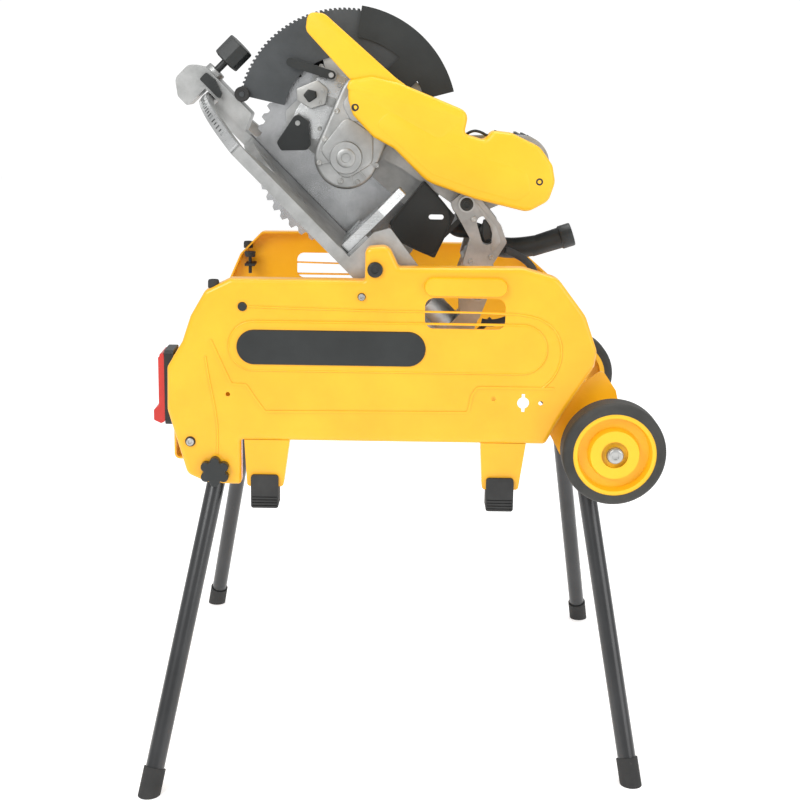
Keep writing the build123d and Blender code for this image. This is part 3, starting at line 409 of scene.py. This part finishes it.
# bevel casting: bolt, clamp block in the opening, spoked ring and stiffening ribs
socket_screws("hinge_washer", [local(41, -91.9, 158)], 10.5, 2.2, NEAR, "black_plastic", "bevel")
plates("ear_block", [[(78, 160, 3), (86, 166, 3), (108, 150, 3), (104, 138, 3), (94, 142, 3)]], -84.5,
       -68.0, "black_plastic",
       "bevel", 1.0)
plates("ear_rim", [[(50, 172, 8), (100, 166, 8), (122, 156, 8), (126, 138, 8), (122, 134, 8), (98, 160, 8),
                    (60, 166, 8)]], -88.0, -85.5, "cast_silver", "bevel", 0.8)
socket_screws("ear_screws", [local(u, -86.2, w) for u, w in ((130, 128), (112, 100), (134, 100), (66,
                                                                                                  150))],
                                                                                                  4.6, 3.0,
                                                                                                  NEAR,
              "zinc_steel", "bevel")
hub_spokes = spokes(COLUMN, range(0, 360, 45), 7, 18, 1.3, COLUMN_Y)
prisms("column_spokes", hub_spokes, NEAR * 0.006, "cast_silver", "bevel", 0.3)
socket_screws("column_boss", [local(COLUMN[0], COLUMN_Y, COLUMN[1])], 8.0, 8.0, NEAR, "cast_silver",
              "bevel")
column_ring = bmesh.new()
for step in range(RING_STEPS):
    start, end = 2 * pi * step / RING_STEPS, 2 * pi * (step + 1) / RING_STEPS
    corners = [(COLUMN[0] + size * cos(turn), COLUMN[1] + size * sin(turn))
               for size, turn in ((18, start), (18, end), (21, end), (21, start))]
    add_prism(column_ring, [local(u, COLUMN_Y, w) for u, w in corners], NEAR * 0.007)
bmesh.ops.remove_doubles(column_ring, verts=column_ring.verts, dist=0.00001)
settle("column_ring", close_mesh("column_ring", column_ring), "cast_silver", "bevel")

# dust chute: moulded lip along its edge
tube("chute_lip", [local(u, -65.6, w) for u, w in ((-30, 133), (6, 133), (42, 129), (56, 95), (68, 61), (40,
                                                                                                         49),
                                                   (12, 40), (-6, 43), (-21, 49), (-26, 92), (-30, 133))],
                                                   1.4,
     "black_plastic", "bevel")

# cable loop on top of the cover
tube("cover_loop", [local(u, y, w) for u, y, w in ((-40, -112, 232), (-38, -112, 244), (-26, -110, 252),
                                                   (-16, -108, 254),
                                                   (-8, -108, 262), (-12, -108, 270))], 2.2,
                                                   "black_plastic", "head")


# hose from the motor down into the bevel column
hose_route = [local(u, y, w) for u, y, w in ((138.5, -76, 151.4), (176, -70, 170), (220, -57, 150), (236,
                                                                                                     -43,
                                                                                                     100),
                                             (222, -32, 52), (203, -30, 40))]
hose = tube("motor_hose", hose_route, 6.0, "black_rubber", "bevel")
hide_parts("motor_conduit")


# dust spout: thick elbow with a belled mouth
tube("spout_elbow", [local(u, 4, w) for u, w in ((92, 138), (120, 140), (150, 150), (178, 190))], 17.0,
     "black_plastic",
     "bevel")
turned("spout_mouth", local(174, 4, 182), ALONG * 0.447 + NORMAL * 0.894,
       [(16.4, 0), (16.8, 20), (17.4, 50), (19.4, 52), (19.4, 70), (18.6, 72), (16.0, 72), (15.4, 44)],
       "black_plastic",
       "bevel")


# walls: pressed edges of the raised panel and the lower step
for side, place in ((-1, "near"), (1, "far")):
    face = side * WALL_FACE
    line = []
    for turn in range(90, 271, 15):
        line.append((-227.5 + 37 * cos(radians(turn)), 657 + 37 * sin(radians(turn))))
    line += [(-120, 620), (0, 620), (100, 620)]
    for turn in range(270, 451, 15):
        line.append((174.5 + 37 * cos(radians(turn)), 657 + 37 * sin(radians(turn))))
    line += [(100, 694), (0, 694), (-120, 694), (-227.5, 694)]
    bead(f"{place}_panel_bead", line, 1.9, face + side * 0.4)
    outer = [(-236, 716), (-150, 714), (0, 712), (150, 712), (200, 706), (228, 684), (236, 650), (224, 612),
             (206, 598)]
    bead(f"{place}_outer_bead", outer, 1.6, face + side * 0.2)
    crease = [(-300, 640), (-296, 610), (-286, 560), (-282, 520), (-284, 490)]
    bead(f"{place}_crease", crease, 1.6, face + side * 0.2)
    socket_screws(f"{place}_corner_screw", [Vector((-0.3245, side * 0.2705, 0.508))], 6.0, 2.6, (0, side,
                                                                                                 0),
                                                                                                 "zinc_steel",
                  "base")
    socket_screws(f"{place}_rim_screws", [Vector((-0.0665, side * 0.2705, 0.733))], 5.0, 2.4, (0, side, 0),
                  "zinc_steel",
                  "base")
    socket_screws(f"{place}_pivot_socket", [Vector((-0.047, side * 0.2722, 0.774))], 10.6, 2.2, (0, side,
                                                                                                 0),
                  "black_plastic", "base")
    socket_screws(f"{place}_stop_knob", [Vector((-0.288, side * 0.254, 0.742))], 8.5, 12.0, (0, 0, 1),
                  "black_rubber",
                  "base")

# caps on the ends of the wheel axle
for side, place in ((-1, "near"), (1, "far")):
    socket_screws(f"{place}_hub_cap", [Vector((0.3125, side * 0.3275, 0.510))], 10.5, 3.0, (0, side, 0),
                  "zinc_steel",
                  "base")

# graduations on the mitre scale
build = bmesh.new()
for mark in range(-38, 39, 2):
    if mark % 10 == 0:
        continue
    height = 7 if mark % 4 == 0 else 5
    turn = radians(180 + mark)
    out = ALONG * cos(turn) + ACROSS * sin(turn)
    side = ALONG * -sin(turn) + ACROSS * cos(turn)
    centre = local(SCALE_U, 0, -28) + out * SCALE_REACH
    tick = [centre + side * 0.0006 - NORMAL * height / 2000,
            centre - side * 0.0006 - NORMAL * height / 2000,
            centre - side * 0.0006 + NORMAL * height / 2000,
            centre + side * 0.0006 + NORMAL * height / 2000]
    add_prism(build, tick, out * 0.0005)
settle("scale_marks", close_mesh("scale_marks", build), "black_plastic", "table")

# ---- stage, light and camera ----------------------------------------------------------------------
floor_mesh = bpy.data.meshes.new("floor")
floor_mesh.from_pydata([(-9, -9, 0), (9, -9, 0), (9, 12, 0), (-9, 12, 0)], [], [(0, 1, 2, 3)])
floor = bpy.data.objects.new("floor", floor_mesh)
bpy.context.scene.collection.objects.link(floor)
floor.location.z = -0.0005
pale = bpy.data.materials.new("floor_pale")
pale.use_nodes = True
tone = ramp(pale.node_tree, noise(pale.node_tree, 3.0).outputs["Fac"], (0.86, 0.86, 0.86), (0.90, 0.90,
                                                                                            0.90))
pale.node_tree.links.new(tone.outputs["Color"],
                         pale.node_tree.nodes["Principled BSDF"].inputs["Base Color"])
pale.node_tree.nodes["Principled BSDF"].inputs["Roughness"].default_value = 0.9
pale.node_tree.nodes["Principled BSDF"].inputs["Emission Color"].default_value = (1, 1, 1, 1)
pale.node_tree.nodes["Principled BSDF"].inputs["Emission Strength"].default_value = 0.42
floor_mesh.materials.append(pale)

world = bpy.data.worlds.new("studio")
world.use_nodes = True
soft_sky = world.node_tree.nodes["Background"]
soft_sky.inputs["Color"].default_value = (1.0, 1.0, 1.0, 1)
soft_sky.inputs["Strength"].default_value = 0.66
white_wall = world.node_tree.nodes.new("ShaderNodeBackground")
white_wall.inputs["Color"].default_value = (1.0, 1.0, 1.0, 1)
white_wall.inputs["Strength"].default_value = 1.05
seen = world.node_tree.nodes.new("ShaderNodeLightPath")
backdrop = world.node_tree.nodes.new("ShaderNodeMixShader")
world.node_tree.links.new(seen.outputs["Is Camera Ray"], backdrop.inputs["Fac"])
world.node_tree.links.new(soft_sky.outputs["Background"], backdrop.inputs[1])
world.node_tree.links.new(white_wall.outputs["Background"], backdrop.inputs[2])
world.node_tree.links.new(backdrop.outputs["Shader"],
                          world.node_tree.nodes["World Output"].inputs["Surface"])
bpy.context.scene.world = world


def area_light(name, place, aim, size, power):
    data = bpy.data.lights.new(name, "AREA")
    data.size = size
    data.energy = power
    light = bpy.data.objects.new(name, data)
    light.location = place
    light.rotation_euler = (Vector(aim) - Vector(place)).to_track_quat("-Z", "Y").to_euler()
    bpy.context.scene.collection.objects.link(light)


area_light("key", (-1.8, -2.6, 2.6), (0, 0, 0.7), 1.6, 60)
area_light("fill", (2.4, -2.2, 1.6), (0, 0, 0.6), 2.0, 30)
area_light("top", (0.2, 0.4, 3.2), (0, 0, 0.7), 2.2, 40)

camera_data = bpy.data.cameras.new("camera")
camera_data.lens = 67.42
camera_data.sensor_width = 36
camera = bpy.data.objects.new("camera", camera_data)
bpy.context.scene.collection.objects.link(camera)
tilt, roll = radians(12.486), radians(0.857)
forward = Vector((0, cos(tilt), -sin(tilt)))
right = Vector((1, 0, 0))
up = right.cross(forward)
rolled_right = right * cos(roll) + up * sin(roll)
rolled_up = up * cos(roll) - right * sin(roll)
axes = Matrix((rolled_right, rolled_up, -forward)).transposed().to_4x4()
camera.matrix_world = Matrix.Translation((-0.00727, -2.47346, 1.06549)) @ axes
bpy.context.scene.camera = camera
bpy.context.scene.view_settings.view_transform = "Standard"
